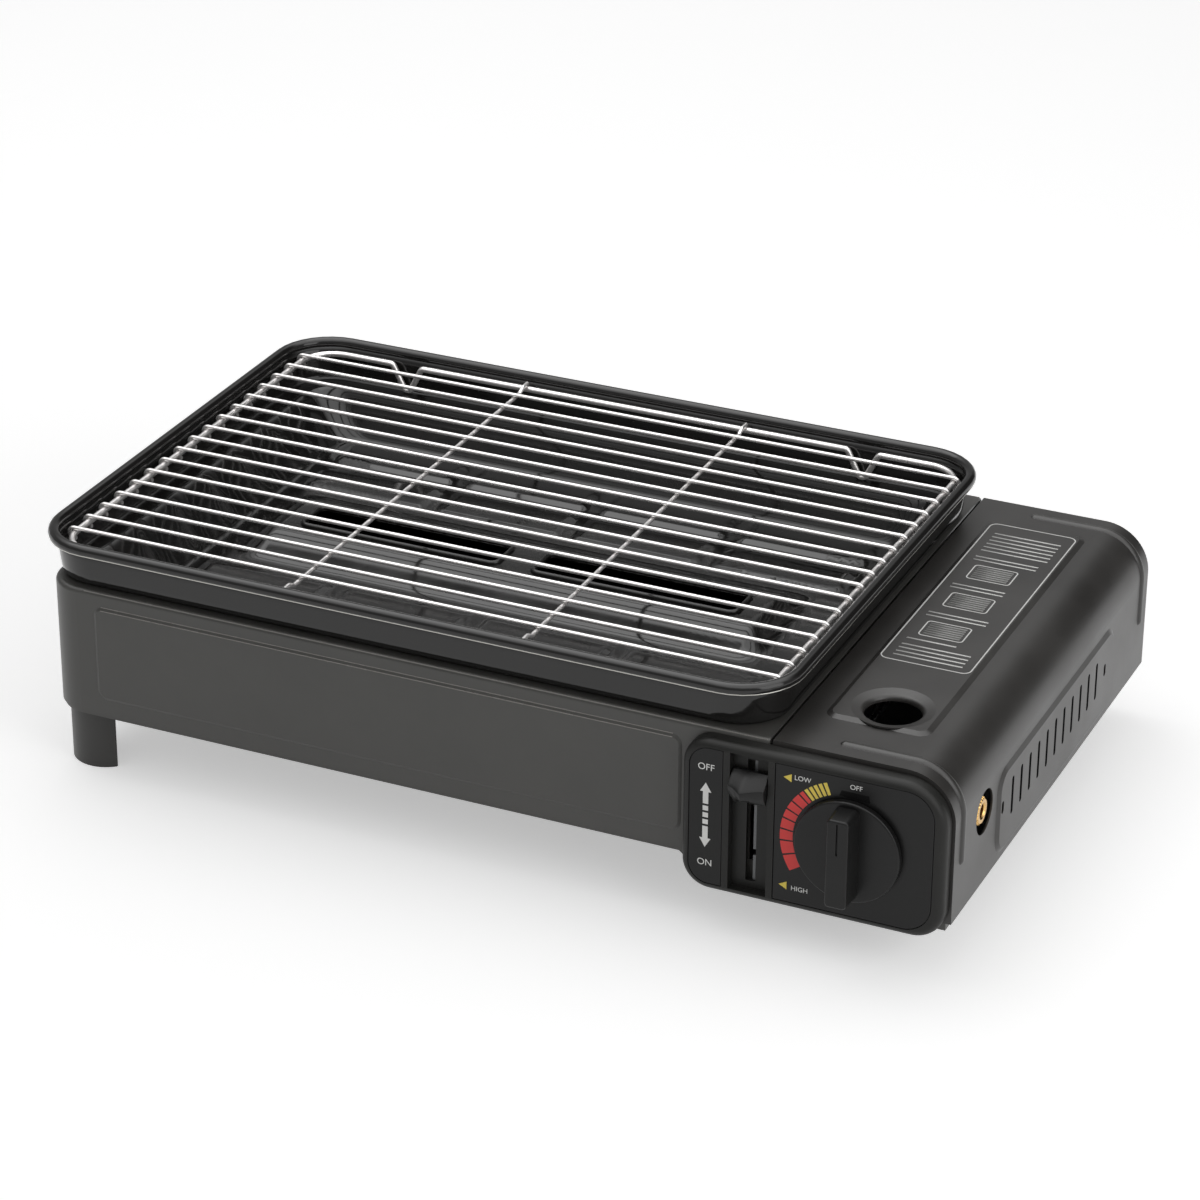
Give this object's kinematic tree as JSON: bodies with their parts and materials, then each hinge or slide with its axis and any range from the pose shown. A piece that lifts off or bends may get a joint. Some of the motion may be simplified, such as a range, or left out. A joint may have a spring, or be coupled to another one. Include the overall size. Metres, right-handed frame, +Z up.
{
  "type": "butane cassette stove",
  "caption": "Portable butane stove with a long low steel body, drop-in grill pan, wire grate, hinged lid over the cartridge bay, lock lever and round control knob.",
  "frame": {"origin": "on the floor, below the centre of the whole stove's bounding box", "axes": "+X from the tub to the cartridge side, +Y from the front panel to the back, +Z up"},
  "size_m": [0.4468, 0.2878, 0.117],
  "materials": {
    "body_paint": "dark olive-grey paint, satin",
    "lid_paint": "dark grey-brown paint, satin",
    "pan_enamel": "black enamel, semi-gloss",
    "grate_chrome": "bright plated wire",
    "inner_steel": "plain galvanised sheet",
    "lever_steel": "plain stamped steel",
    "panel_plastic": "dark grey moulded plastic, fine grain",
    "knob_plastic": "black moulded plastic",
    "foot_plastic": "dark plastic",
    "dial_print": "black printed plate with red and yellow scale",
    "brass": "turned brass",
    "zinc_casting": "bare die casting",
    "ceramic": "white ceramic",
    "lead_rubber": "black insulation",
    "fastener_steel": "zinc-plated steel"
  },
  "bodies": {
    "stove": {"body_tub": "body_paint", "base_plate": "body_paint", "bay_tray": "inner_steel", "heat_partition": "inner_steel", "heat_reflector": "inner_steel", "burner_tube": "inner_steel", "mixing_tube": "inner_steel", "jet_bracket": "inner_steel", "gas_jet": "brass", "gas_pipe": "lever_steel", "burner_brackets": "inner_steel", "flame_shields": "inner_steel", "spark_electrode": "ceramic", "electrode_tip": "lever_steel", "ignition_lead": "lead_rubber", "piezo_igniter": "panel_plastic", "regulator_body": "zinc_casting", "regulator_cap": "zinc_casting", "cartridge_seat": "zinc_casting", "gas_inlet": "brass", "valve_body": "brass", "control_panel": "panel_plastic", "arrow_plate": "dial_print", "dial_plate": "dial_print", "slot_strip": "lever_steel", "lever_pivot_pin": "fastener_steel", "slider_guides": "inner_steel", "cartridge_cradle": "inner_steel", "tall_feet": "foot_plastic", "short_feet": "foot_plastic", "tall_foot_screws": "fastener_steel", "short_foot_screws": "fastener_steel", "panel_screws": "fastener_steel", "regulator_screws": "fastener_steel", "hinge_pins": "fastener_steel"},
    "knob": {"knob": "knob_plastic", "valve_stem": "brass"},
    "lever": {"lock_lever": "lever_steel", "lever_knob": "knob_plastic", "crank_pin": "fastener_steel"},
    "slider": {"cartridge_slider": "lever_steel"},
    "lid": {"lid": "lid_paint"},
    "pan": {"grill_pan": "pan_enamel"},
    "grate": {"grate_frame": "grate_chrome", "grate_bars": "grate_chrome", "cross_wires": "grate_chrome"}
  },
  "joints": [
    {"name": "lid_hinge", "type": "hinge", "parent": "stove", "child": "lid", "pos_m": [0.1554, 0.0111, 0.089], "axis": [0, -1, 0], "range_deg": [0, 93]},
    {"name": "knob_turn", "type": "hinge", "parent": "stove", "child": "knob", "pos_m": [0.1786, -0.1209, 0.056], "axis": [0, -1, 0], "range_deg": [0, 120]},
    {"name": "lever_swing", "type": "hinge", "parent": "stove", "child": "lever", "pos_m": [0.1317, -0.0729, 0.056], "axis": [1, 0, 0], "range_deg": [0, 36]},
    {"name": "slider_travel", "type": "slide", "parent": "stove", "child": "slider", "axis": [0, -1, 0], "range_m": [0, 0.01055]},
    {"name": "pan_lift", "type": "slide", "parent": "stove", "child": "pan", "axis": [0, 0, 1], "range_m": [0, 0.06]},
    {"name": "grate_lift", "type": "slide", "parent": "pan", "child": "grate", "axis": [0, 0, 1], "range_m": [0, 0.04]}
  ],
  "couplings": [
    {"joint": "slider_travel", "follows": "lever_swing", "m_per_rad": 0.01672}
  ]
}
